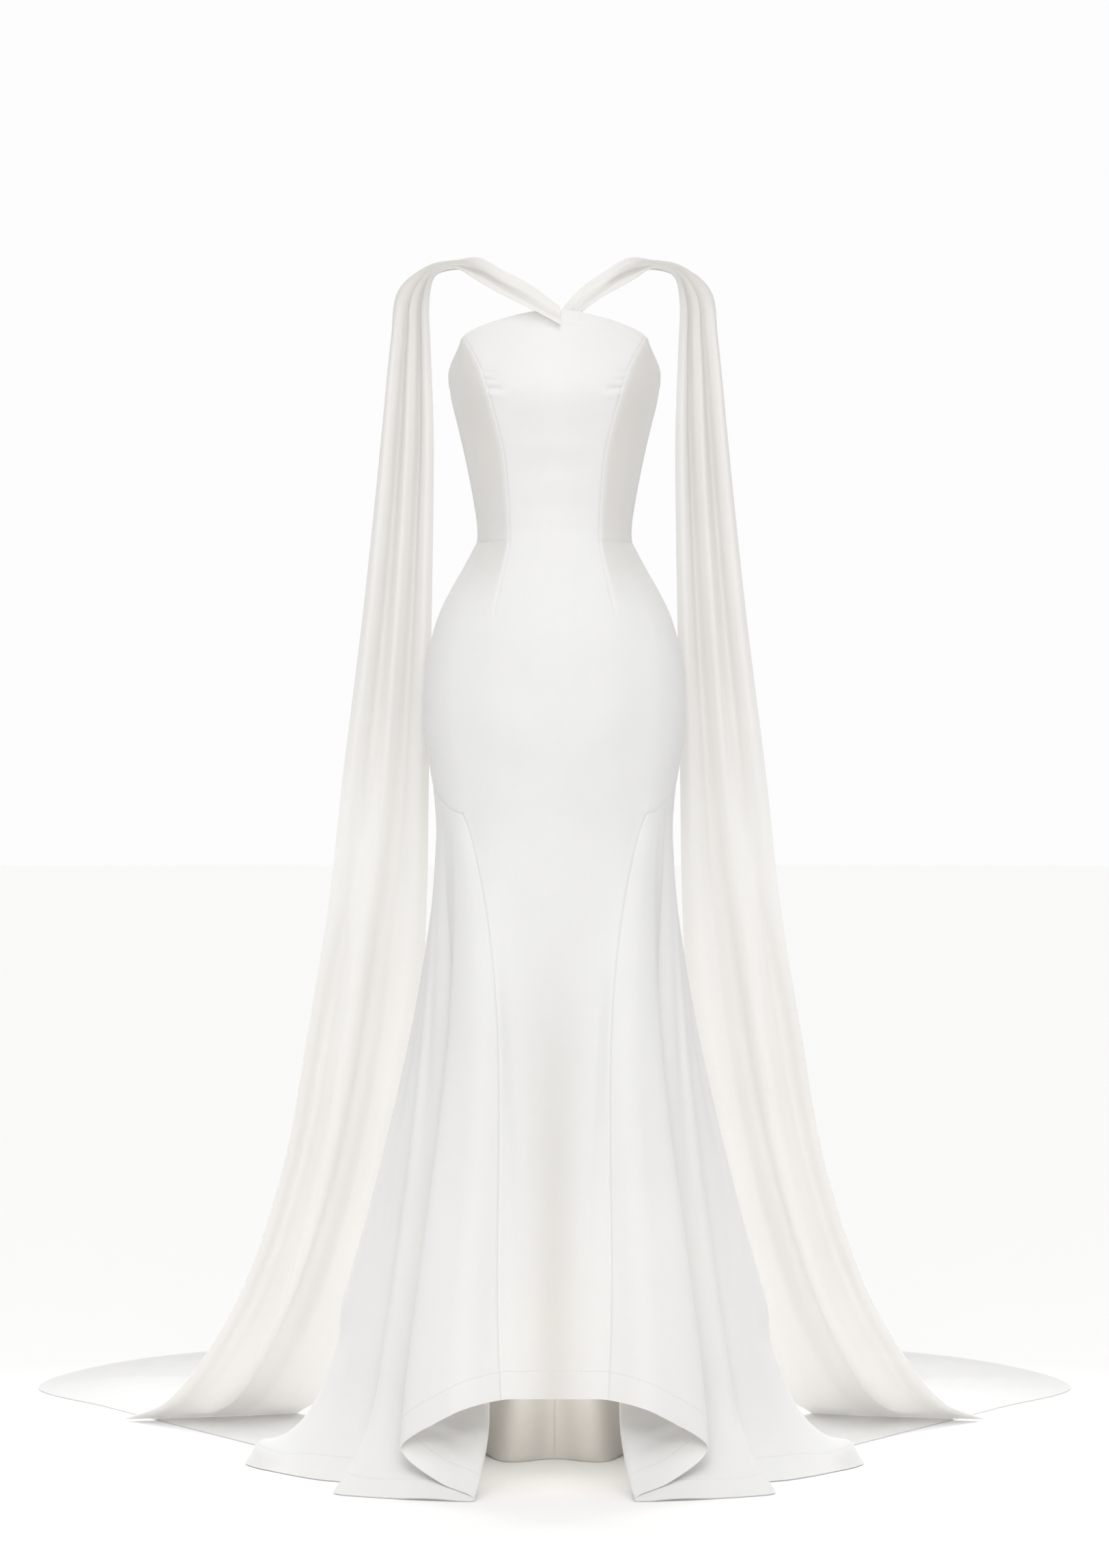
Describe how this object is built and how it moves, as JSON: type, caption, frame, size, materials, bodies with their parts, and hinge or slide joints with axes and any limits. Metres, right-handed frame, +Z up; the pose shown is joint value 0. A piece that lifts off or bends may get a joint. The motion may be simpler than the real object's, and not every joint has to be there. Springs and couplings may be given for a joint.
{
  "type": "high-low gown",
  "caption": "Strapless high-low mermaid gown with raised front hem, floor train and two draped shoulder capes, held open as worn.",
  "frame": {"origin": "middle of the shoulder line, where the wearer's shoulders carry the two straps, 1.5 m above the floor", "axes": "+Z up, the front faces -Y, +X to the right in a front view"},
  "size_m": [1.454, 1.6726, 1.4933],
  "materials": {
    "gown_crepe": "ivory white satin-backed crepe with a soft sheen",
    "cape_chiffon": "soft warm white crepe chiffon, nearly matt",
    "button_cloth": "ivory white satin over a button mould"
  },
  "bodies": {
    "root": {"front_panel": "gown_crepe", "bodice_side_left": "gown_crepe", "bodice_back_left": "gown_crepe", "skirt_godet_left": "gown_crepe", "hip_back_left": "gown_crepe", "skirt_back_left": "gown_crepe", "cape_left": "cape_chiffon", "bodice_side_right": "gown_crepe", "bodice_back_right": "gown_crepe", "skirt_godet_right": "gown_crepe", "hip_back_right": "gown_crepe", "skirt_back_right": "gown_crepe", "cape_right": "cape_chiffon", "back_placket": "gown_crepe", "back_button_01": "button_cloth", "back_button_02": "button_cloth", "back_button_03": "button_cloth", "back_button_04": "button_cloth", "back_button_05": "button_cloth", "back_button_06": "button_cloth", "back_button_07": "button_cloth", "back_button_08": "button_cloth", "back_button_09": "button_cloth", "back_button_10": "button_cloth", "back_button_11": "button_cloth", "back_button_12": "button_cloth"}
  },
  "joints": []
}
